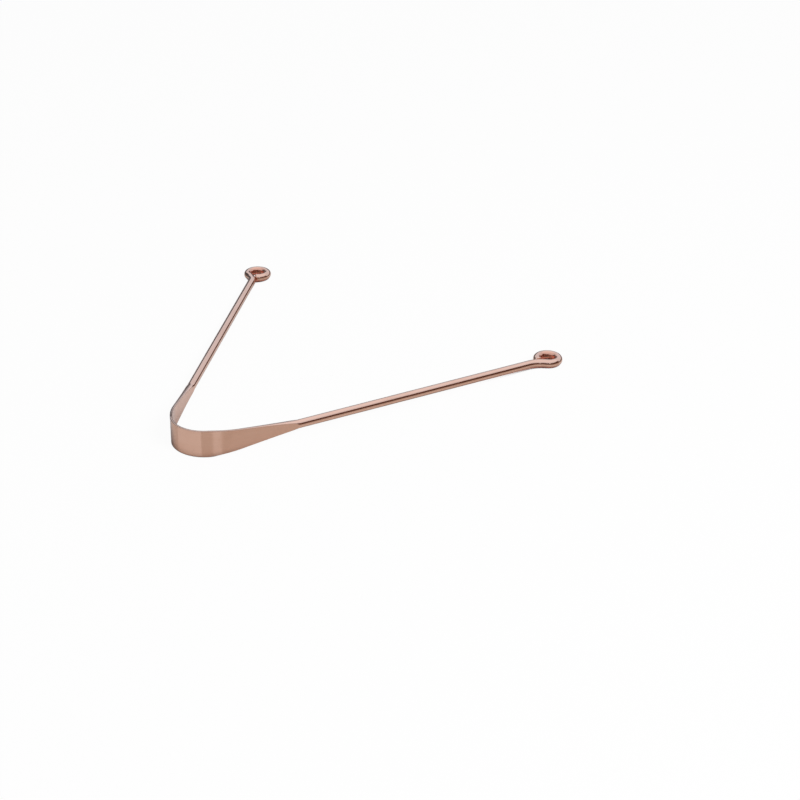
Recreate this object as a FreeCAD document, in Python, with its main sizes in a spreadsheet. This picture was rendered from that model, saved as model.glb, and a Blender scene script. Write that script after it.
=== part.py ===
"""Tongue scraper: one copper rod whose middle is rolled flat and bent into a blade, with an eye at each end.

The scraper's own plane holds the rod's centre line. In that plane the blade's middle is at the origin, the right
arm runs towards +X, the left arm towards -X, and the open side is towards +Y. The whole piece then lies down on a
surface: it rests on the two ends of the blade's nose and on both eyes, and so tips a little towards the eyes.
Each arm flexes about the end of the nose, where its round knuckle sits in a groove across the end of the blade.
Lengths are in millimetres and angles in degrees.
"""
import FreeCAD
import Part
import Sketcher

import math
import os

SIZES = [
    ("wire_diameter", 3.0, "drawn rod, round where it isn't flattened"),
    ("blade_width", 9.8, "flattened strip across its edges"),
    ("blade_thickness", 0.73, "flattened strip between its faces"),
    ("nose_radius", 11.7, "bend of the blade's middle, at mid thickness"),
    ("nose_half_angle", 46.0, "turn of the nose on each side of the blade's middle"),
    ("cheek_radius", 33.0, "gentler bend from the nose to the straight shoulder"),
    ("cheek_turn", 18.6, "turn of that bend"),
    ("shoulder_length", 21.4, "straight stretch in which the flat fades out"),
    ("rod_length", 94.9, "straight round rod of each handle"),
    ("facet_tip", 0.06, "width that the strip still has over the rod where the flat ends"),
    ("kink_radius", 9.0, "outward bend before the eye"),
    ("kink_angle", 42.0, "turn of that bend"),
    ("eye_bore_diameter", 5.0, "clear hole through the eye, the size of the pin it is wound on"),
    ("eye_land_depth", 0.1, "flat that the winding leaves on the inside of the eye"),
    ("eye_gap", 0.5, "gap between the rod's cut end and the kink that it curls back to"),
    ("knuckle_inset", 0.03, "step from the strip's faces down to the round knuckle at the arm's root"),
    ("hinge_clearance", 0.05, "room that the groove in the end of the blade leaves round a strip's thickness"),
]

CHEEK_STATIONS = 3
SHOULDER_STATIONS = 4
STATIONS = CHEEK_STATIONS + SHOULDER_STATIONS + 1

# A strip with half-round edges has this share of its thickness squared less than a square-edged one
EDGE_SHARE = "(1 - pi / 4)"

DERIVED = [
    ("wire_radius", "Sizes.wire_diameter / 2"),
    ("arm_half_angle", "Sizes.nose_half_angle + Sizes.cheek_turn"),
    ("nose_end_x", "Sizes.nose_radius * sin(Sizes.nose_half_angle)"),
    ("nose_end_y", "Sizes.nose_radius * (1 - cos(Sizes.nose_half_angle))"),
    ("cheek_end_x", "nose_end_x + Sizes.cheek_radius * (sin(arm_half_angle) - sin(Sizes.nose_half_angle))"),
    ("cheek_end_y", "nose_end_y + Sizes.cheek_radius * (cos(Sizes.nose_half_angle) - cos(arm_half_angle))"),
    ("arm_length", "Sizes.shoulder_length + Sizes.rod_length"),
    ("rod_end_x", "cheek_end_x + arm_length * cos(arm_half_angle)"),
    ("rod_end_y", "cheek_end_y + arm_length * sin(arm_half_angle)"),
    # The kink's end and the eye's centre, from the rod's end: along the arm, and across it towards the inside
    ("eye_radius", "Sizes.eye_bore_diameter / 2 + wire_radius - Sizes.eye_land_depth"),
    ("kink_along", "Sizes.kink_radius * sin(Sizes.kink_angle)"),
    ("kink_across", "Sizes.kink_radius * (cos(Sizes.kink_angle) - 1)"),
    ("eye_along", "kink_along + eye_radius * sin(Sizes.kink_angle)"),
    ("eye_across", "kink_across + eye_radius * cos(Sizes.kink_angle)"),
    ("eye_y", "rod_end_y + eye_along * sin(arm_half_angle) + eye_across * cos(arm_half_angle)"),
    # The eye turns until the outer corner of its cut end is the gap away from the kink
    ("kink_to_eye", "Sizes.kink_radius + eye_radius"),
    ("eye_outside", "eye_radius + wire_radius"),
    ("kink_outside", "Sizes.kink_radius + wire_radius + Sizes.eye_gap"),
    ("open_cosine", "(kink_to_eye^2 + eye_outside^2 - kink_outside^2) / (2 * kink_to_eye * eye_outside)"),
    ("eye_turn", "360 - acos(open_cosine) / 1 deg"),
    # The tilt that puts the nose's ends and the eyes on one surface, with the middle of the footprint at zero
    ("half_flat", "(Sizes.blade_width - Sizes.blade_thickness) / 2"),
    ("rest_span", "eye_y + eye_radius - nose_end_y"),
    ("rest_drop", "Sizes.blade_thickness / 2 - wire_radius"),
    ("rest_tilt", "(atan(half_flat / rest_span) + asin(rest_drop / sqrt(rest_span^2 + half_flat^2))) / 1 deg"),
    ("rest_height", "nose_end_y * sin(rest_tilt) + half_flat * cos(rest_tilt) + Sizes.blade_thickness / 2"),
    ("back_y", "(eye_y + eye_radius) * cos(rest_tilt) + wire_radius"),
    ("front_y", "-half_flat * sin(rest_tilt) - Sizes.blade_thickness / 2"),
    ("rest_shift", "-(back_y + front_y) / 2"),
    # The flat fades out along the cheek and the shoulder, while the strip's section grows into the rod's
    ("cheek_length", "Sizes.cheek_radius * Sizes.cheek_turn * pi / 180"),
    ("taper_length", "cheek_length + Sizes.shoulder_length"),
    ("blade_area", "Sizes.blade_width * Sizes.blade_thickness - " + EDGE_SHARE + " * Sizes.blade_thickness^2"),
    ("rod_area", "pi * wire_radius^2"),
]


def station_cells():
    """Place and section of each station of the taper: turn, along the arm, across it, width and thickness."""
    cells = []
    for number in range(STATIONS):
        before = "%d / %d" % (max(CHEEK_STATIONS - number, 0), CHEEK_STATIONS)
        after = "%d / %d" % (max(number - CHEEK_STATIONS, 0), SHOULDER_STATIONS)
        turn, share, width, area = ["%s_%d" % (word, number) for word in ("turn", "share", "width", "area")]
        cells += [
            (turn, "Sizes.cheek_turn * " + before),
            ("along_%d" % number, "Sizes.shoulder_length * %s - Sizes.cheek_radius * sin(%s)" % (after, turn)),
            ("across_%d" % number, "Sizes.cheek_radius * (1 - cos(%s))" % turn),
            (share, "(cheek_length * (1 - %s) + Sizes.shoulder_length * %s) / taper_length" % (before, after)),
            (width, "Sizes.blade_width + (Sizes.wire_diameter + Sizes.facet_tip - Sizes.blade_width) * " + share),
            (area, "blade_area + (rod_area - blade_area) * " + share),
            ("thickness_%d" % number,
             "(%s - sqrt(%s^2 - 4 * %s * %s)) / (2 * %s)" % (width, width, EDGE_SHARE, area, EDGE_SHARE)),
        ]
    return cells


def make_sheets(doc):
    """The driving sizes as plain numbers, and a second sheet with what follows from them."""
    sizes = doc.addObject("Spreadsheet::Sheet", "Sizes")
    for row, (alias, value, note) in enumerate(SIZES, 1):
        sizes.set("A%d" % row, alias)
        sizes.set("B%d" % row, str(value))
        sizes.set("C%d" % row, note)
        sizes.setAlias("B%d" % row, alias)
    doc.recompute()
    derived = doc.addObject("Spreadsheet::Sheet", "Derived")
    for row, (alias, formula) in enumerate(DERIVED + station_cells(), 1):
        derived.set("A%d" % row, alias)
        derived.setAlias("B%d" % row, alias)
        derived.set("B%d" % row, "=" + formula)
    doc.recompute()


def frame_formula(x, y, z, axis, turn):
    """A placement as a formula: a shift, and a turn about one axis."""
    return "placement(vector(%s; %s; %s); rotation(vector(%s); %s))" % (x, y, z, axis, turn)


LYING = frame_formula("0", "Derived.rest_shift", "Derived.rest_height", "1; 0; 0", "-Derived.rest_tilt")


def make_body(doc, label, placement=""):
    """An empty body, placed in the scraper's plane and laid down with it."""
    body = doc.addObject("PartDesign::Body", label)
    body.Label = label
    body.setExpression("Placement", LYING + (" * " + placement if placement else ""))
    return body


def arm_frame(side, x_alias, y_alias):
    """The frame of one arm, with X along the arm, at a point of its centre line."""
    turn = "Derived.arm_half_angle" if side > 0 else "180 - Derived.arm_half_angle"
    return frame_formula("%d * Derived.%s" % (side, x_alias), "Derived." + y_alias, "0", "0; 0; 1", turn)


def new_sketch(body, name, plane):
    """A sketch on one of the body's own origin planes."""
    sketch = body.newObject("Sketcher::SketchObject", name)
    support = [feature for feature in body.Origin.OriginFeatures if feature.Role == plane][0]
    sketch.AttachmentSupport = [(support, "")]
    sketch.MapMode = "FlatFace"
    return sketch


def section_sketch(body, name, along="0", across="0", turn="0"):
    """A sketch square to the arm, moved along and across it and turned with its centre line."""
    sketch = new_sketch(body, name, "YZ_Plane")
    sketch.setExpression("AttachmentOffset", frame_formula(across, "0", along, "0; 1; 0", turn))
    return sketch


def bind(sketch, formula, kind, *elements):
    """A dimension of a sketch that follows a formula."""
    value = float(sketch.evalExpression(formula))
    index = sketch.addConstraint(Sketcher.Constraint(kind, *elements, value))
    sketch.setExpression("Constraints[%d]" % index, formula)


def draw_circle(sketch, radius, x=None, y=None, side=1):
    """A circle about the sketch's origin, or about a point on the given side of it."""
    size = float(sketch.evalExpression(radius))
    circle = sketch.addGeometry(Part.Circle(FreeCAD.Vector(side * size, size, 0), FreeCAD.Vector(0, 0, 1), size))
    bind(sketch, radius, "Radius", circle)
    if x is None:
        sketch.addConstraint(Sketcher.Constraint("Coincident", circle, 3, -1, 1))
        return
    ends = (-1, 1, circle, 3) if side > 0 else (circle, 3, -1, 1)
    bind(sketch, x, "DistanceX", *ends)
    bind(sketch, y, "DistanceY", -1, 1, circle, 3)


def draw_strip(sketch, width, thickness):
    """The strip's section about the sketch's origin: two flats and two half-round edges."""
    wide = float(sketch.evalExpression(width))
    radius = float(sketch.evalExpression(thickness)) / 2
    reach = wide / 2 - radius
    normal = FreeCAD.Vector(0, 0, 1)
    corner = {(x, y): FreeCAD.Vector(x * radius, y * reach, 0) for x in (-1, 1) for y in (-1, 1)}
    top = sketch.addGeometry(
        Part.ArcOfCircle(Part.Circle(FreeCAD.Vector(0, reach, 0), normal, radius), 0, math.pi))
    left = sketch.addGeometry(Part.LineSegment(corner[-1, 1], corner[-1, -1]))
    bottom = sketch.addGeometry(
        Part.ArcOfCircle(Part.Circle(FreeCAD.Vector(0, -reach, 0), normal, radius), math.pi, 2 * math.pi))
    right = sketch.addGeometry(Part.LineSegment(corner[1, -1], corner[1, 1]))
    for first, second in ((top, left), (left, bottom), (bottom, right), (right, top)):
        sketch.addConstraint(Sketcher.Constraint("Tangent", first, 2, second, 1))
    sketch.addConstraint(Sketcher.Constraint("Equal", top, bottom))
    sketch.addConstraint(Sketcher.Constraint("Symmetric", top, 3, bottom, 3, -1, 1))
    sketch.addConstraint(Sketcher.Constraint("PointOnObject", top, 3, -2))
    bind(sketch, "(%s) / 2" % thickness, "Radius", top)
    bind(sketch, "%s - %s" % (width, thickness), "DistanceY", bottom, 3, top, 3)


def draw_landed_rod(sketch, radius, land_depth, side):
    """The rod's section with the flat that the winding pin leaves on its inner side."""
    size = float(sketch.evalExpression(radius))
    chord = size - float(sketch.evalExpression(land_depth))
    angle = math.acos(chord / size)
    middle = 0 if side > 0 else math.pi
    circle = Part.Circle(FreeCAD.Vector(0, 0, 0), FreeCAD.Vector(0, 0, 1), size)
    arc = sketch.addGeometry(Part.ArcOfCircle(circle, middle + angle, middle + 2 * math.pi - angle))
    rise = side * math.sqrt(size**2 - chord**2)
    low = FreeCAD.Vector(side * chord, -rise, 0)
    high = FreeCAD.Vector(side * chord, rise, 0)
    land = sketch.addGeometry(Part.LineSegment(low, high))
    sketch.addConstraint(Sketcher.Constraint("Coincident", arc, 3, -1, 1))
    sketch.addConstraint(Sketcher.Constraint("Coincident", arc, 2, land, 1))
    sketch.addConstraint(Sketcher.Constraint("Coincident", land, 2, arc, 1))
    sketch.addConstraint(Sketcher.Constraint("Vertical", land))
    bind(sketch, radius, "Radius", arc)
    ends = (-1, 1, land, 1) if side > 0 else (land, 1, -1, 1)
    bind(sketch, "%s - %s" % (radius, land_depth), "DistanceX", *ends)


def draw_axis(sketch, distance, side):
    """An upright axis to turn a section about, on the given side of the sketch's origin."""
    x = side * float(sketch.evalExpression(distance))
    line = sketch.addGeometry(Part.LineSegment(FreeCAD.Vector(x, 0, 0), FreeCAD.Vector(x, 1, 0)), True)
    sketch.addConstraint(Sketcher.Constraint("Vertical", line))
    sketch.addConstraint(Sketcher.Constraint("PointOnObject", line, 1, -1))
    ends = (-1, 1, line, 1) if side > 0 else (line, 1, -1, 1)
    bind(sketch, distance, "DistanceX", *ends)
    bind(sketch, "Sizes.blade_width", "DistanceY", line, 1, line, 2)


def turn_section(body, name, sketch, angle, reverse=False):
    """A section turned about the sketch's upright axis."""
    bend = body.newObject("PartDesign::Revolution", name)
    bend.Profile = sketch
    bend.ReferenceAxis = (sketch, ["Axis0"])
    bend.Reversed = reverse
    bend.setExpression("Angle", angle)
    return bend


def make_blade(doc):
    """The flat nose, bent on one arc, with a groove across each end for an arm's knuckle."""
    body = make_body(doc, "scraping_blade")
    section = section_sketch(body, "strip_section")
    draw_strip(section, "Sizes.blade_width", "Sizes.blade_thickness")
    draw_axis(section, "Sizes.nose_radius", 1)
    nose = turn_section(body, "nose_bend", section, "2 * Sizes.nose_half_angle")
    nose.Midplane = True
    doc.recompute()
    rounds = new_sketch(body, "groove_rounds", "XY_Plane")
    for side in (1, -1):
        draw_circle(rounds, "Sizes.blade_thickness / 2 + Sizes.hinge_clearance",
                    "Derived.nose_end_x", "Derived.nose_end_y", side)
    grooves = body.newObject("PartDesign::Pocket", "knuckle_grooves")
    grooves.Profile = rounds
    grooves.Type = "ThroughAll"
    grooves.SideType = "Symmetric"


def make_arm(doc, name, side):
    """One arm: the cheek and shoulder where the flat fades out, the round rod, and the knuckle at its root."""
    body = make_body(doc, name + "_arm", arm_frame(side, "cheek_end_x", "cheek_end_y"))
    sections = []
    for number in range(STATIONS):
        sketch = section_sketch(
            body, "%s_section_%d" % (name, number), along="Derived.along_%d" % number,
            across="%d * Derived.across_%d" % (side, number), turn="%d * Derived.turn_%d" % (-side, number))
        draw_strip(sketch, "Derived.width_%d" % number, "Derived.thickness_%d" % number)
        sections.append(sketch)
    taper = body.newObject("PartDesign::AdditiveLoft", name + "_taper")
    taper.Profile = sections[0]
    taper.Sections = sections[1:]
    doc.recompute()
    round_section = section_sketch(body, name + "_rod_section", along="Sizes.shoulder_length")
    draw_circle(round_section, "Derived.wire_radius")
    rod = body.newObject("PartDesign::Pad", name + "_rod")
    rod.Profile = round_section
    rod.setExpression("Length", "Sizes.rod_length")
    doc.recompute()
    root = new_sketch(body, name + "_knuckle_round", "XY_Plane")
    root.setExpression("AttachmentOffset", frame_formula(
        "Derived.along_0", "%d * Derived.across_0" % side, "0", "0; 0; 1", "0"))
    draw_circle(root, "Sizes.blade_thickness / 2 - Sizes.knuckle_inset")
    knuckle = body.newObject("PartDesign::Pad", name + "_knuckle")
    knuckle.Profile = root
    knuckle.SideType = "Symmetric"
    knuckle.setExpression("Length", "2 * Derived.half_flat")


def make_eye(doc, name, side):
    """One eye: the outward kink at the rod's end, then the curl inwards round the winding pin."""
    body = make_body(doc, name + "_eye", arm_frame(side, "rod_end_x", "rod_end_y"))
    kink_section = section_sketch(body, name + "_kink_section")
    draw_circle(kink_section, "Derived.wire_radius")
    draw_axis(kink_section, "Sizes.kink_radius", -side)
    turn_section(body, name + "_kink", kink_section, "Sizes.kink_angle", reverse=side > 0)
    doc.recompute()
    curl_section = section_sketch(
        body, name + "_curl_section", along="Derived.kink_along",
        across="%d * Derived.kink_across" % side, turn="%d * Sizes.kink_angle" % -side)
    draw_landed_rod(curl_section, "Derived.wire_radius", "Sizes.eye_land_depth", side)
    draw_axis(curl_section, "Derived.eye_radius", side)
    turn_section(body, name + "_curl", curl_section, "Derived.eye_turn", reverse=side < 0)


def check(doc):
    """Stop where anything failed to compute, or a piece isn't one sound solid."""
    for item in doc.Objects:
        if "Invalid" in item.State or "Error" in item.State:
            raise RuntimeError("%s failed: %s" % (item.Label, item.State))
    for body in pieces(doc):
        if body.Shape.isNull() or not body.Shape.isValid() or len(body.Shape.Solids) != 1:
            raise RuntimeError("%s isn't one sound solid" % body.Label)


def pieces(doc):
    return [item for item in doc.Objects if item.TypeId == "PartDesign::Body"]


def main():
    doc = FreeCAD.newDocument("tongue_scraper")
    make_sheets(doc)
    make_blade(doc)
    for name, side in (("left", -1), ("right", 1)):
        make_arm(doc, name, side)
        make_eye(doc, name, side)
    doc.recompute()
    check(doc)
    os.makedirs("parts", exist_ok=True)
    for body in pieces(doc):
        body.Shape.exportStep("parts/%s.step" % body.Label)
        print("%s %.2f mm3" % (body.Label, body.Shape.Volume))


main()
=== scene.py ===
"""The looks of a copper tongue scraper: one rod, rolled flat at its bow, with an open eye at each end."""

import math

import bpy
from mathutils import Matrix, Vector


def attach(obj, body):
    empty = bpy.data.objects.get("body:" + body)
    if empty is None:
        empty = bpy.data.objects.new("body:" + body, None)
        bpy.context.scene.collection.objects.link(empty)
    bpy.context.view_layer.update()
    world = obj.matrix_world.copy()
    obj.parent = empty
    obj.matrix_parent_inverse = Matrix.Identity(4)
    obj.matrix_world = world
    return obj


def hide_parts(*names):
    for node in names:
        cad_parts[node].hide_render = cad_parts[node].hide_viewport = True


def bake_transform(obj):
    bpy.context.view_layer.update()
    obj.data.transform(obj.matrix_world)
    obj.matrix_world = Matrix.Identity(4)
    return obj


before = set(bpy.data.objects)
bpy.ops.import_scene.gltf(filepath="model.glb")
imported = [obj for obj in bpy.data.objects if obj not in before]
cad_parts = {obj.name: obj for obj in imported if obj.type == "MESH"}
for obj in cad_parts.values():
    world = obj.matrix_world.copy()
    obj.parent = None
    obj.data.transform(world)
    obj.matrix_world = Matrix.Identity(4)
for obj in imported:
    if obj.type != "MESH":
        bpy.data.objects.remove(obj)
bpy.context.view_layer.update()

MM = 0.001

# Sizes of the scraper, the same as the solids have.
WIRE_DIAMETER = 3.0 * MM
BLADE_WIDTH = 9.8 * MM
NOSE_RADIUS = 11.7 * MM
NOSE_HALF_ANGLE = math.radians(46)
CHEEK_RADIUS = 33 * MM
CHEEK_TURN = math.radians(18.6)
SHOULDER_LENGTH = 21.4 * MM
ROD_LENGTH = 94.9 * MM
KINK_RADIUS = 9 * MM
KINK_ANGLE = math.radians(42)
EYE_RADIUS = 3.9 * MM
BORE_FLAT = 0.1 * MM

# The end of the eye. It reaches further round than in the solids, leans, and has a rounded rim.
EYE_TURN = math.radians(313.8)
CUT_ROUNDING = 0.5 * MM
CUT_LEAN = 0.4
CUT_LEAN_LENGTH = 2.5 * MM

# How the scraper lies: it is tipped until the bow's lower edge and both eyes touch the floor.
REST_TILT = math.radians(1.548267)
REST_HEIGHT = 4.99487 * MM
REST_SHIFT = -65.15675 * MM

# Lengths along the rod, from the middle of the blade.
NOSE_END = NOSE_RADIUS * NOSE_HALF_ANGLE
TAPER_LENGTH = CHEEK_RADIUS * CHEEK_TURN + SHOULDER_LENGTH
ROD_END = NOSE_END + TAPER_LENGTH + ROD_LENGTH
WIRE_END = ROD_END + KINK_RADIUS * KINK_ANGLE + EYE_RADIUS * EYE_TURN

# Points of the meshes: stations along each piece, rings on a cut end's rim, and points round a section.
BLADE_STATIONS = 56
ARM_STATIONS = 540
EYE_STATIONS = 150
CUT_RINGS = 10
POINTS_AROUND = 72

# The share of the points round a section that lie on its two faces.
FACE_SHARE = 8 / 18

# A short first and last step on each piece, which keeps the joins between pieces smooth.
JOIN_STEP = 0.01 * MM

# How softly the taper starts at the blade and ends at the rod.
TAPER_START_BLEND = 0.25 * MM
TAPER_END_BLEND = 0.05 * MM

# The strip's sides: their radius as a share of the thickness on the rod, what rolling adds to that share,
# and the part of the rod's thickness that has to be rolled away for all of it.
ROUND_SIDE = 0.5
ROLLED_SIDE = 0.25
ROLLED_AWAY = 0.3

# Beyond this angle a side is drawn with the points of the face.
SIDE_ANGLE = math.radians(60)

# The flat inside the eye comes in over this length, and edges sharper than this angle stay sharp.
BORE_RUN_IN = 0.4 * MM
SHARP_ANGLE = math.radians(65)

# Where the finish changes: how near the strip's edges it turns rougher and is painted darker, a painted
# shade, how wide the strip's flat has to be for that, and how far inside the eye the copper is painted redder
# and darker, a painted shade and reflection.
EDGE_SHADE_FROM = 0.93
EDGE_SHADE_FLAT = (0.3 * MM, 2.0 * MM)
CURL_SHADE_INSIDE = (-0.1 * MM, -1.1 * MM)

# The colours of the copper, with the painted shade of the strip's edges and the painted shade and reflection
# inside the eye.
COPPER = (0.725, 0.445, 0.328, 1)
COPPER_TARNISHED = (0.660, 0.385, 0.272, 1)
COPPER_DRAWN = (0.650, 0.375, 0.265, 1)
COPPER_CURL_PAINTED_SHADE = (0.640, 0.270, 0.170, 1)
COPPER_SPECK = (0.480, 0.250, 0.170, 1)
COPPER_EDGE_PAINTED_SHADE = (0.460, 0.300, 0.230, 1)

# The colours of the table: its paint, its lacquer, its painted shade, and in the copper's reflections its
# painted contact shadow and painted light bounced off the copper.
TABLE_PAINT = (0.90, 0.90, 0.90, 1)
TABLE_LACQUER = (0.88, 0.88, 0.88, 1)
TABLE_SHADE = (0.22, 0.11, 0.08, 1)
TABLE_PAINTED_CONTACT_SHADOW = (0.42, 0.40, 0.39, 1)
TABLE_PAINTED_BOUNCE_LIGHT = (1.0, 0.62, 0.57, 1)

# The table reaches this far from its middle. Its shade is worked out only near the scraper, from what stands
# within the shade's reach.
TABLE_REACH = 3.0
NEAR_X = 100 * MM
NEAR_Y = 80 * MM
SHADE_REACH = 8 * MM
SHADE_SAMPLES = 24

# The dark cards: their colours, their distance, and the step of their curve in degrees.
CARD_WARM = (0.15, 0.075, 0.055, 1)
CARD_COOL = (0.17, 0.20, 0.24, 1)
CARD_DISTANCE = 0.9
CARD_STEP = 6

# The surround lights the scraper at this strength. The camera and reflections see it at full strength.
SURROUND_LIGHT = 0.35
SURROUND_WHITE = (1, 1, 1, 1)
SURROUND_REFLECTED = (0.88, 1.02, 1.22, 1)

# The thin strip bends over this length, half of it on each side of the hinge line.
FLEX_LENGTH = 6 * MM
BLADE_END = NOSE_END - FLEX_LENGTH / 2

# The camera, set by the photograph: it looks at a point on the floor.
LOOK_AT = Vector((38.57, 6.17, 0)) * MM
CAMERA_DISTANCE = 608.25 * MM
CAMERA_AZIMUTH = math.radians(33.969)
CAMERA_ELEVATION = math.radians(28.552)
CAMERA_LENS = 77.52


class Value:
    """A socket of a node tree. Sums on it add Math nodes to the tree."""

    def __init__(self, recipe, socket):
        self.recipe = recipe
        self.socket = socket

    def math(self, operation, *others):
        """What a Math node makes of this value and the others."""
        inputs = {0: self}
        for place, other in enumerate(others):
            inputs[place + 1] = other
        return self.recipe.node("ShaderNodeMath", {"operation": operation}, inputs)

    def __add__(self, other):
        return self.math("ADD", other)

    def __radd__(self, other):
        return self.math("ADD", other)

    def __sub__(self, other):
        return self.math("SUBTRACT", other)

    def __rsub__(self, other):
        return self.recipe.node("ShaderNodeMath", {"operation": "SUBTRACT"}, {0: other, 1: self})

    def __mul__(self, other):
        return self.math("MULTIPLY", other)

    def __rmul__(self, other):
        return self.math("MULTIPLY", other)

    def __truediv__(self, other):
        return self.math("DIVIDE", other)

    def between(self, low, high):
        """This value, kept between low and high."""
        return self.math("MAXIMUM", low).math("MINIMUM", high)


class Recipe:
    """A node tree in the making."""

    def __init__(self, tree):
        self.tree = tree

    def node(self, kind, settings=None, inputs=None, output=0):
        """Adds a node: its settings first, then its sockets. One output comes back, or a list of them."""
        made = self.tree.nodes.new(kind)
        for name, setting in (settings or {}).items():
            setattr(made, name, setting)
        for name, value in (inputs or {}).items():
            socket = made.inputs[name]
            if isinstance(value, Value):
                self.tree.links.new(value.socket, socket)
            else:
                socket.default_value = value
        if isinstance(output, (list, tuple)):
            return [Value(self, made.outputs[name]) for name in output]
        if not len(made.outputs):
            return made
        return Value(self, made.outputs[output])

    def ramp(self, value, low, high):
        """0 at low and before it, 1 at high and beyond it, smooth between them."""
        settings = {"interpolation_type": "SMOOTHSTEP"}
        return self.node("ShaderNodeMapRange", settings, {"Value": value, "From Min": low, "From Max": high})

    def mix(self, share, first, second):
        """The first colour where share is 0, the second where it is 1."""
        return self.node("ShaderNodeMix", {"data_type": "RGBA"}, {0: share, 6: first, 7: second}, 2)

    def vector(self, x, y, z):
        """A vector of three values."""
        return self.node("ShaderNodeCombineXYZ", None, {0: x, 1: y, 2: z})

    def noise(self, place, scale, detail, roughness):
        """Noise at a place."""
        settings = {"noise_dimensions": "3D"}
        inputs = {"Vector": place, "Scale": scale, "Detail": detail, "Roughness": roughness}
        return self.node("ShaderNodeTexNoise", settings, inputs)

    def stretched(self, place, x, y, z):
        """A place with each of its axes scaled."""
        return self.node("ShaderNodeVectorMath", {"operation": "MULTIPLY"}, {0: place, 1: (x, y, z)})


def new_material(name):
    """An empty material, and the recipe of its nodes."""
    material = bpy.data.materials.new(name)
    material.use_nodes = True
    material.node_tree.nodes.clear()
    return material, Recipe(material.node_tree)


def copper_material():
    """Polished drawn copper: pale rose, with draw lines along the rod and faint tarnish. Its edges are
    rougher and painted darker, a painted shade, and the inside of its eyes is painted redder and darker, a
    painted shade and reflection.
    """
    material, recipe = new_material("polished_copper")
    blank = recipe.node("ShaderNodeAttribute", {"attribute_name": "blank"}, None, "Vector")
    edge_painted_shade = recipe.node("ShaderNodeAttribute", {"attribute_name": "edge_painted_shade"}, None, "Fac")
    curl_painted_shade = recipe.node("ShaderNodeAttribute", {"attribute_name": "curl_painted_shade"}, None, "Fac")

    along_rod = recipe.stretched(blank, 60, 6000, 6000)
    draw_lines = recipe.noise(along_rod, scale=1.0, detail=3.0, roughness=0.6)
    finer = recipe.stretched(blank, 160, 21000, 21000)
    hairlines = recipe.noise(finer, scale=1.0, detail=2.0, roughness=0.6)
    broad = recipe.stretched(blank, 110, 160, 160)
    handling = recipe.noise(broad, scale=1.0, detail=4.0, roughness=0.55)
    specks = recipe.noise(blank, scale=1900, detail=2.0, roughness=0.5)

    tarnish = recipe.ramp(handling, 0.46, 0.72)
    drawn = recipe.ramp(draw_lines, 0.35, 0.75)
    speck_mask = recipe.ramp(specks, 0.66, 0.78)
    colour = recipe.mix(tarnish * 0.55, COPPER, COPPER_TARNISHED)
    colour = recipe.mix(drawn * 0.3, colour, COPPER_DRAWN)
    # Painted shade and reflection: the inside of the eyes is painted redder and darker.
    colour = recipe.mix(curl_painted_shade * 0.6, colour, COPPER_CURL_PAINTED_SHADE)
    colour = recipe.mix(speck_mask * 0.25, colour, COPPER_SPECK)
    # Painted shade: the strip's edges are painted darker.
    colour = recipe.mix(edge_painted_shade * 0.9, colour, COPPER_EDGE_PAINTED_SHADE)

    roughness = 0.070 + 0.07 * draw_lines + 0.05 * tarnish + 0.10 * edge_painted_shade + 0.10 * curl_painted_shade
    height = 0.7 * draw_lines + 0.3 * hairlines
    normal = recipe.node("ShaderNodeBump", None, {"Strength": 0.10, "Distance": 0.02 * MM, "Height": height})
    shader = recipe.node("ShaderNodeBsdfPrincipled", None, {
        "Base Color": colour,
        "Metallic": 1.0,
        "Roughness": roughness,
        "Normal": normal,
    })
    recipe.node("ShaderNodeOutputMaterial", None, {"Surface": shader})
    return material


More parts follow.
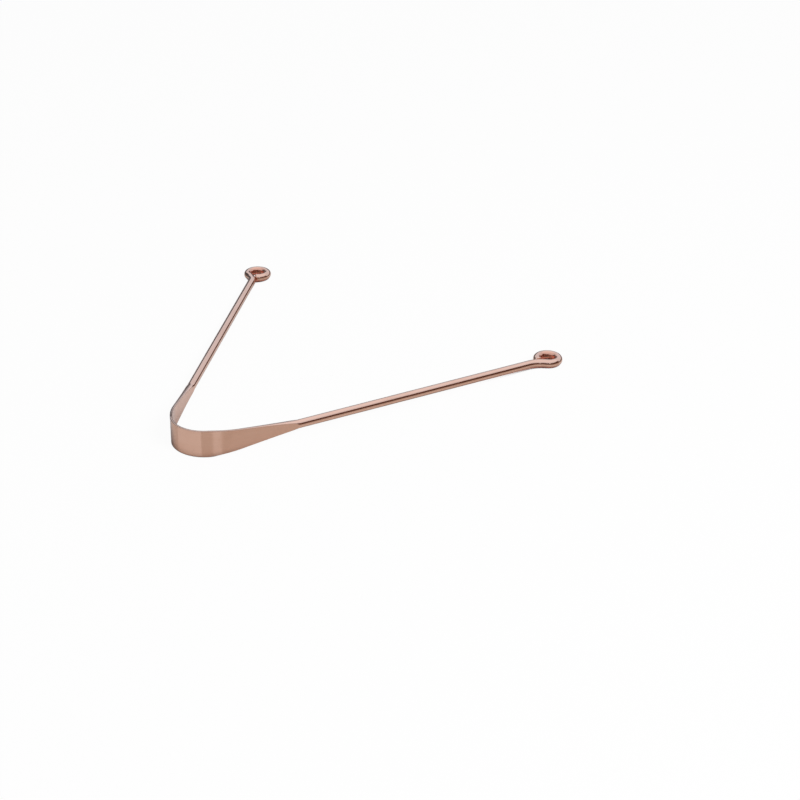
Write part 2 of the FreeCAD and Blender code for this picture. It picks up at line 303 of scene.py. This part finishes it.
def scraper_wire_tree(copper):
    """The rule of the scraper's rod, from one length along it to another, on its right or left side."""
    tree = bpy.data.node_groups.new("scraper_wire", "GeometryNodeTree")
    tree.interface.new_socket("Wire", in_out="OUTPUT", socket_type="NodeSocketGeometry")
    sizes = {
        "Start": 0.0,
        "End": ROD_END,
        "Side": 1.0,
        "Join Step": JOIN_STEP,
        "Cut Rounding": CUT_ROUNDING,
        "Cut Lean": CUT_LEAN,
        "Cut Lean Length": CUT_LEAN_LENGTH,
        "Wire Diameter": WIRE_DIAMETER,
        "Blade Width": BLADE_WIDTH,
        "Nose Radius": NOSE_RADIUS,
        "Nose Half Angle": NOSE_HALF_ANGLE,
        "Cheek Radius": CHEEK_RADIUS,
        "Cheek Turn": CHEEK_TURN,
        "Shoulder Length": SHOULDER_LENGTH,
        "Rod Length": ROD_LENGTH,
        "Kink Radius": KINK_RADIUS,
        "Kink Angle": KINK_ANGLE,
        "Eye Radius": EYE_RADIUS,
        "Eye Turn": EYE_TURN,
        "Bore Flat": BORE_FLAT,
        "Rest Tilt": REST_TILT,
        "Rest Height": REST_HEIGHT,
        "Rest Shift": REST_SHIFT,
    }
    for name, size in sizes.items():
        tree.interface.new_socket(name, in_out="INPUT", socket_type="NodeSocketFloat").default_value = size
    counts = {"Stations": ARM_STATIONS, "Cut Rings": 0, "Around": POINTS_AROUND}
    for name, count in counts.items():
        tree.interface.new_socket(name, in_out="INPUT", socket_type="NodeSocketInt").default_value = count
    recipe = Recipe(tree)
    names = list(sizes) + list(counts)
    given = dict(zip(names, recipe.node("NodeGroupInput", None, None, names)))

    # Rings of points: one at each station along the rod, and a few more that round off a cut end.
    index = recipe.node("GeometryNodeInputIndex")
    line = recipe.node("GeometryNodeCurvePrimitiveLine")
    line = recipe.node("GeometryNodeResampleCurve", {"mode": "COUNT"}, {
        "Curve": line,
        "Count": given["Stations"] + given["Cut Rings"],
    })
    line = recipe.node("GeometryNodeStoreNamedAttribute", {"data_type": "FLOAT", "domain": "POINT"}, {
        "Geometry": line,
        "Name": "station",
        "Value": index,
    })
    ring = recipe.node("GeometryNodeCurvePrimitiveCircle", {"mode": "RADIUS"}, {
        "Resolution": given["Around"],
        "Radius": WIRE_DIAMETER / 2,
    })
    ring = recipe.node("GeometryNodeStoreNamedAttribute", {"data_type": "FLOAT", "domain": "POINT"}, {
        "Geometry": ring,
        "Name": "turn",
        "Value": index / given["Around"],
    })
    wire = recipe.node("GeometryNodeCurveToMesh", None, {
        "Curve": line,
        "Profile Curve": ring,
        "Fill Caps": True,
    })
    wire = recipe.node("GeometryNodeFlipFaces", None, {"Mesh": wire})
    station = recipe.node("GeometryNodeInputNamedAttribute", {"data_type": "FLOAT"}, {"Name": "station"})
    turn = recipe.node("GeometryNodeInputNamedAttribute", {"data_type": "FLOAT"}, {"Name": "turn"})

    # The length along the rod at each station.
    last = given["Stations"] - 1
    rounding = ((station - last) / given["Cut Rings"].math("MAXIMUM", 1.0)).between(0.0, 1.0)
    closing = given["Cut Rounding"] * given["Cut Rings"].math("MINIMUM", 1.0)
    span = given["End"] - given["Start"] - 2.0 * given["Join Step"] - closing
    inner = ((station - 1.0) / (last - 2.0)).between(0.0, 1.0)
    along = given["Start"] + given["Join Step"] * station.math("MINIMUM", 1.0) + inner * span
    along = along + given["Join Step"] * (station - last + 1.0).between(0.0, 1.0)
    quarter_turn = rounding * (math.pi / 2)
    along = along + closing * quarter_turn.math("SINE")
    shrink = 1.0 - (1.0 - quarter_turn.math("COSINE")) * closing / (given["Wire Diameter"] / 2)

    # Where each bend starts, and its length.
    nose_arc = given["Nose Radius"] * given["Nose Half Angle"]
    cheek_arc = given["Cheek Radius"] * given["Cheek Turn"]
    straight = given["Shoulder Length"] + given["Rod Length"]
    kink_arc = given["Kink Radius"] * given["Kink Angle"]
    eye_arc = given["Eye Radius"] * given["Eye Turn"]
    cheek_start = nose_arc
    straight_start = cheek_start + cheek_arc
    kink_start = straight_start + straight
    eye_start = kink_start + kink_arc

    # The section: rolled flat at the blade, round at the rod, with the metal of the round rod all along.
    # Its two faces are flat, and its two sides keep part of the rod's roundness.
    wire_area = given["Wire Diameter"] * given["Wire Diameter"] * (math.pi / 4)
    taper = (along.math("ABSOLUTE") - nose_arc) / (cheek_arc + given["Shoulder Length"])
    width = given["Blade Width"] - taper * (given["Blade Width"] - given["Wire Diameter"])
    width = width.math("SMOOTH_MIN", given["Blade Width"], TAPER_START_BLEND)
    width = width.math("SMOOTH_MAX", given["Wire Diameter"], TAPER_END_BLEND)
    corner = 2.0 * (1.0 - math.pi / 4)
    thickness = (width - (width * width - 2.0 * corner * wire_area).math("SQRT")) / corner
    rolled = recipe.ramp(given["Wire Diameter"] - thickness, 0.0, given["Wire Diameter"] * ROLLED_AWAY)
    side_radius = thickness * (ROUND_SIDE + ROLLED_SIDE * rolled)
    side_angle = (thickness * 0.5 / side_radius).math("MINIMUM", 1.0).math("ARCSINE")
    flat = width / 2.0 - side_radius * (1.0 - side_angle.math("COSINE"))
    flat = flat.math("MAXIMUM", 0.0)
    leftover = (side_angle - SIDE_ANGLE).math("MAXIMUM", 0.0)
    quarter = (turn * 4.0).math("PINGPONG", 1.0)
    on_face = (quarter / FACE_SHARE).math("MINIMUM", 1.0)
    on_side = ((quarter - FACE_SHARE) / (1.0 - FACE_SHARE)).math("MAXIMUM", 0.0)
    from_middle = (1.0 - (1.0 - on_face) * (1.0 - on_face)) * (flat + side_radius * leftover)
    lean = side_angle - (from_middle - flat).math("MAXIMUM", 0.0) / side_radius
    lean = lean * (1.0 - on_side)
    rise = from_middle.math("MINIMUM", flat) + side_radius * (lean.math("COSINE") - side_angle.math("COSINE"))
    rise = rise * (turn * (2 * math.pi)).math("SINE").math("SIGN") * shrink
    stand = side_radius * lean.math("SINE")
    stand = stand * (turn * (2 * math.pi)).math("COSINE").math("SIGN") * shrink
    bore = given["Bore Flat"] * ((along - eye_start) / BORE_RUN_IN).between(0.0, 1.0)
    stand = stand.math("MAXIMUM", bore - given["Wire Diameter"] / 2.0)

    # A cut end leans: the inside of the eye reaches further than its outside.
    lean_start = given["End"] - given["Cut Lean Length"]
    leaning = recipe.ramp(along, lean_start, given["End"]) * given["Cut Rings"].math("MINIMUM", 1.0)
    along = along - given["Cut Lean"] * leaning * stand

    # The path: the nose and cheek of the bow, the straight rod, the kink and the eye, which turns back.
    on_nose = along.math("MINIMUM", nose_arc)
    heading = on_nose / given["Nose Radius"]
    across = given["Nose Radius"] * heading.math("SINE")
    away = given["Nose Radius"] * (1.0 - heading.math("COSINE"))
    # The eye's bend runs on past its turn, for the side of the cut end that leans forward.
    bends = [
        (cheek_start, cheek_arc, given["Cheek Radius"]),
        (straight_start, straight, None),
        (kink_start, kink_arc, -1.0 * given["Kink Radius"]),
        (eye_start, eye_arc + given["Wire Diameter"], given["Eye Radius"]),
    ]
    for start, length, radius in bends:
        done = (along - start).math("MAXIMUM", 0.0).math("MINIMUM", length)
        if radius is None:
            across = across + done * heading.math("COSINE")
            away = away + done * heading.math("SINE")
            continue
        turned = heading + done / radius
        across = across + radius * (turned.math("SINE") - heading.math("SINE"))
        away = away + radius * (heading.math("COSINE") - turned.math("COSINE"))
        heading = turned

    # The left side is the right side turned over about the scraper's middle line.
    upright = rise * given["Side"]
    place = recipe.vector(
        (across + stand * heading.math("SINE")) * given["Side"],
        away - stand * heading.math("COSINE"),
        upright,
    )
    wire = recipe.node("GeometryNodeSetPosition", None, {"Geometry": wire, "Position": place})
    wire = recipe.node("GeometryNodeTransform", None, {
        "Geometry": wire,
        "Translation": recipe.vector(0.0, given["Rest Shift"], given["Rest Height"]),
        "Rotation": recipe.vector(-1.0 * given["Rest Tilt"], 0.0, 0.0),
    })

    # What the finish follows: the place on the straight rod, the strip's edges, rougher and painted darker as
    # painted shade, and the inside of the eye, rougher and painted redder and darker as painted shade and
    # reflection.
    edge_shade_mask = recipe.ramp(rise.math("ABSOLUTE") / (width / 2.0), EDGE_SHADE_FROM, 1.0)
    edge_shade_mask = edge_shade_mask * recipe.ramp(flat, *EDGE_SHADE_FLAT)
    inside = recipe.ramp(stand, *CURL_SHADE_INSIDE)
    curl_shade_mask = recipe.ramp(along, eye_start - kink_arc, eye_start) * inside
    marks = [
        ("blank", "FLOAT_VECTOR", recipe.vector(along * given["Side"], stand, upright)),
        ("edge_painted_shade", "FLOAT", edge_shade_mask),
        ("curl_painted_shade", "FLOAT", curl_shade_mask),
    ]
    return finish_tree(recipe, wire, marks, copper)


def finish_tree(recipe, wire, marks, copper):
    """Stores the marks, smooths all but the cut edges, and closes the tree."""
    for name, kind, value in marks:
        wire = recipe.node("GeometryNodeStoreNamedAttribute", {"data_type": kind, "domain": "POINT"}, {
            "Geometry": wire,
            "Name": name,
            "Value": value,
        })
    for name in ("station", "turn"):
        wire = recipe.node("GeometryNodeRemoveAttribute", None, {"Geometry": wire, "Name": name})
    wire = recipe.node("GeometryNodeSetShadeSmooth", {"domain": "FACE"}, {0: wire, "Shade Smooth": True})
    edge_angle = recipe.node("GeometryNodeInputMeshEdgeAngle")
    gentle = recipe.node("FunctionNodeCompare", {"operation": "LESS_THAN"}, {0: edge_angle, 1: SHARP_ANGLE})
    wire = recipe.node("GeometryNodeSetShadeSmooth", {"domain": "EDGE"}, {0: wire, "Shade Smooth": gentle})
    wire = recipe.node("GeometryNodeSetMaterial", None, {"Geometry": wire, "Material": copper})
    recipe.node("NodeGroupOutput", None, {"Wire": wire})
    return recipe.tree


def scraper_piece(name, tree, settings):
    """One piece of the scraper, as a plain mesh made by the wire tree with these settings."""
    piece = bpy.data.objects.new(name, bpy.data.meshes.new(name))
    bpy.context.scene.collection.objects.link(piece)
    modifier = piece.modifiers.new("scraper_wire", "NODES")
    modifier.node_group = tree
    for item in tree.interface.items_tree:
        if item.in_out == "INPUT":
            modifier[item.identifier] = settings.get(item.name, item.default_value)
    depsgraph = bpy.context.evaluated_depsgraph_get()
    mesh = bpy.data.meshes.new_from_object(piece.evaluated_get(depsgraph))
    mesh.name = name
    piece.modifiers.remove(modifier)
    piece.data = mesh
    return piece


def build_scraper():
    """The blade, and on each side an arm and an eye."""
    copper = copper_material()
    tree = scraper_wire_tree(copper)
    blade = scraper_piece("scraping_blade_strip", tree, {
        "Start": -BLADE_END,
        "End": BLADE_END,
        "Stations": BLADE_STATIONS,
    })
    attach(blade, "blade")
    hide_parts("scraping_blade")
    for side_name, side in (("left", -1.0), ("right", 1.0)):
        handle = side_name + "_handle"
        arm = scraper_piece(side_name + "_arm_rod", tree, {
            "Start": BLADE_END,
            "End": ROD_END,
            "Side": side,
            "Stations": ARM_STATIONS,
        })
        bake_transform(arm)
        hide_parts(side_name + "_arm")
        eye = scraper_piece(side_name + "_eye_curl", tree, {
            "Start": ROD_END,
            "End": WIRE_END,
            "Side": side,
            "Stations": EYE_STATIONS,
            "Cut Rings": CUT_RINGS,
        })
        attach(eye, handle)
        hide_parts(side_name + "_eye")


def ray_kinds(recipe):
    """1 for what the camera sees, itself or through something clear, and 1 for what a reflection sees."""
    outputs = ("Is Camera Ray", "Is Transmission Ray", "Is Glossy Ray")
    camera, through, glossy = recipe.node("ShaderNodeLightPath", None, None, outputs)
    return camera.math("MAXIMUM", through), glossy


def flat_sheet(name, corners, faces, material):
    """A sheet of the studio, which isn't part of the scraper."""
    mesh = bpy.data.meshes.new(name)
    mesh.from_pydata(corners, [], faces)
    mesh.materials.append(material)
    sheet = bpy.data.objects.new(name, mesh)
    bpy.context.scene.collection.objects.link(sheet)
    return sheet


def matt_paint(recipe, colour):
    """A paint with no shine."""
    return recipe.node("ShaderNodeBsdfPrincipled", None, {
        "Base Color": colour,
        "Roughness": 1.0,
        "Specular IOR Level": 0.0,
    })


def white_table():
    """A lacquered white table top. It is plain white to the camera and keeps a soft shadow.

    Close to the copper, the copper's reflections see a painted contact shadow on it. Where the copper closes
    it in, as inside an eye, it is painted in a copper-tinted shade for the camera, and with painted light
    bounced off the copper for reflections.
    """
    material, recipe = new_material("white_table")
    seen, glossy = ray_kinds(recipe)
    paint = matt_paint(recipe, TABLE_PAINT)
    lacquer = recipe.node("ShaderNodeBsdfPrincipled", None, {
        "Base Color": TABLE_LACQUER,
        "Roughness": 0.03,
        "IOR": 2.0,
    })
    shade = matt_paint(recipe, TABLE_SHADE)
    white = recipe.node("ShaderNodeEmission", None, {"Color": (1, 1, 1, 1), "Strength": 1.0})

    # Only near the scraper can its copper close the table in.
    place = recipe.node("ShaderNodeTexCoord", None, None, "Object")
    x, y = recipe.node("ShaderNodeSeparateXYZ", None, {0: place}, ("X", "Y"))
    near_x = x.math("ABSOLUTE").math("LESS_THAN", NEAR_X)
    near_y = y.math("ABSOLUTE").math("LESS_THAN", NEAR_Y)
    near = near_x * near_y
    settings = {"samples": SHADE_SAMPLES}
    openness = recipe.node("ShaderNodeAmbientOcclusion", settings, {"Distance": SHADE_REACH}, "AO")
    # Painted shade and light: a copper-tinted shade where the copper closes the table in; for reflections, a
    # painted contact shadow near the copper and painted light bounced off the copper inside the eyes.
    closed_in = recipe.ramp(openness, 0.30, 0.14)
    contact = recipe.ramp(openness, 0.85, 0.45) * near
    painted_shadow_and_bounce = matt_paint(recipe, recipe.mix(recipe.ramp(openness, 0.45, 0.30), TABLE_PAINTED_CONTACT_SHADOW, TABLE_PAINTED_BOUNCE_LIGHT))
    plain = recipe.node("ShaderNodeMixShader", None, {0: 0.95, 1: paint, 2: white})
    shaded = recipe.node("ShaderNodeMixShader", None, {0: closed_in, 1: plain, 2: shade})
    table_seen = recipe.node("ShaderNodeMixShader", None, {0: near, 1: plain, 2: shaded})
    mirrored = recipe.node("ShaderNodeMixShader", None, {0: contact, 1: lacquer, 2: painted_shadow_and_bounce})
    reflected = recipe.node("ShaderNodeMixShader", None, {0: glossy, 1: paint, 2: mirrored})
    shader = recipe.node("ShaderNodeMixShader", None, {0: seen, 1: reflected, 2: table_seen})
    recipe.node("ShaderNodeOutputMaterial", None, {"Surface": shader})
    signs = [(-1, -1), (1, -1), (1, 1), (-1, 1)]
    corners = [(x_sign * TABLE_REACH, y_sign * TABLE_REACH, 0) for x_sign, y_sign in signs]
    flat_sheet("table_top", corners, [(0, 1, 2, 3)], material)


def card_material(name, colour):
    """A plain matt card of one colour."""
    material, recipe = new_material(name)
    shader = recipe.node("ShaderNodeBsdfDiffuse", None, {"Color": colour})
    recipe.node("ShaderNodeOutputMaterial", None, {"Surface": shader})
    return material


def dark_cards():
    """Dark cards round the table, out of the camera's sight, for the dark lines that polished metal shows.

    Each has the directions where it starts and ends, in degrees from the front towards the right, and
    the height of its top, in degrees above the table as the scraper sees it.
    """
    warm = card_material("warm_dark_card", CARD_WARM)
    cool = card_material("cool_grey_card", CARD_COOL)
    cards = [
        ("front_left_card", -60, 21, 16, warm),
        ("camera_card", 21, 50, 33, warm),
        ("gap_card", 50, 60, 20, warm),
        ("right_card", 60, 130, 33, warm),
        ("back_card", 130, 205, 10, warm),
        ("back_left_card", 205, 248, 16, cool),
        ("left_card", 248, 300, 33, cool),
    ]
    for name, first, last, top, material in cards:
        steps = max(2, round((last - first) / CARD_STEP))
        corners = []
        for step in range(steps + 1):
            azimuth = math.radians(first + (last - first) * step / steps)
            x = CARD_DISTANCE * math.sin(azimuth)
            y = -CARD_DISTANCE * math.cos(azimuth)
            corners.append((x, y, 0.0))
            corners.append((x, y, CARD_DISTANCE * math.tan(math.radians(top))))
        faces = [(2 * step, 2 * step + 2, 2 * step + 3, 2 * step + 1) for step in range(steps)]
        card = flat_sheet(name, corners, faces, material)
        card.visible_camera = False
        card.visible_diffuse = False
        card.visible_shadow = False


def soft_box(name, place, aim, size, power):
    """A square lamp at a place, turned towards its aim."""
    lamp = bpy.data.lights.new(name, "AREA")
    lamp.shape = "SQUARE"
    lamp.size = size
    lamp.energy = power
    holder = bpy.data.objects.new(name, lamp)
    holder.location = place
    holder.rotation_euler = (Vector(aim) - Vector(place)).to_track_quat("-Z", "Y").to_euler()
    bpy.context.scene.collection.objects.link(holder)
    return holder


def studio():
    """A white table and surround, dark cards, one large soft box overhead and one from the right."""
    white_table()
    dark_cards()
    soft_box("overhead_soft_box", (0.05, 0.2, 1.1), (0.03, 0.0, 0.0), 1.4, 1.3)
    key = soft_box("key_soft_box", (0.805, -0.142, 0.736), (0.0, 0.0, 0.0), 0.45, 7.8)
    key.visible_glossy = False
    world = bpy.data.worlds.new("white_surround")
    world.use_nodes = True
    world.node_tree.nodes.clear()
    recipe = Recipe(world.node_tree)
    seen, glossy = ray_kinds(recipe)
    colour = recipe.mix(glossy, SURROUND_WHITE, SURROUND_REFLECTED)
    strength = SURROUND_LIGHT + (1 - SURROUND_LIGHT) * seen + (1 - SURROUND_LIGHT) * glossy
    backdrop = recipe.node("ShaderNodeBackground", None, {"Color": colour, "Strength": strength})
    recipe.node("ShaderNodeOutputWorld", None, {"Surface": backdrop})
    bpy.context.scene.world = world


def photo_camera():
    """The camera that the photograph was taken from."""
    camera = bpy.data.objects.new("camera", bpy.data.cameras.new("camera"))
    camera.data.lens = CAMERA_LENS
    camera.data.sensor_width = 36
    camera.data.clip_start = 0.01
    camera.data.clip_end = 20
    towards = Vector((
        math.cos(CAMERA_ELEVATION) * math.sin(CAMERA_AZIMUTH),
        -math.cos(CAMERA_ELEVATION) * math.cos(CAMERA_AZIMUTH),
        math.sin(CAMERA_ELEVATION),
    ))
    camera.location = LOOK_AT + towards * CAMERA_DISTANCE
    camera.rotation_euler = (-towards).to_track_quat("-Z", "Y").to_euler()
    bpy.context.scene.collection.objects.link(camera)
    bpy.context.scene.camera = camera


photo_camera()
studio()
build_scraper()
bpy.context.scene.view_settings.view_transform = "Standard"
bpy.context.view_layer.update()
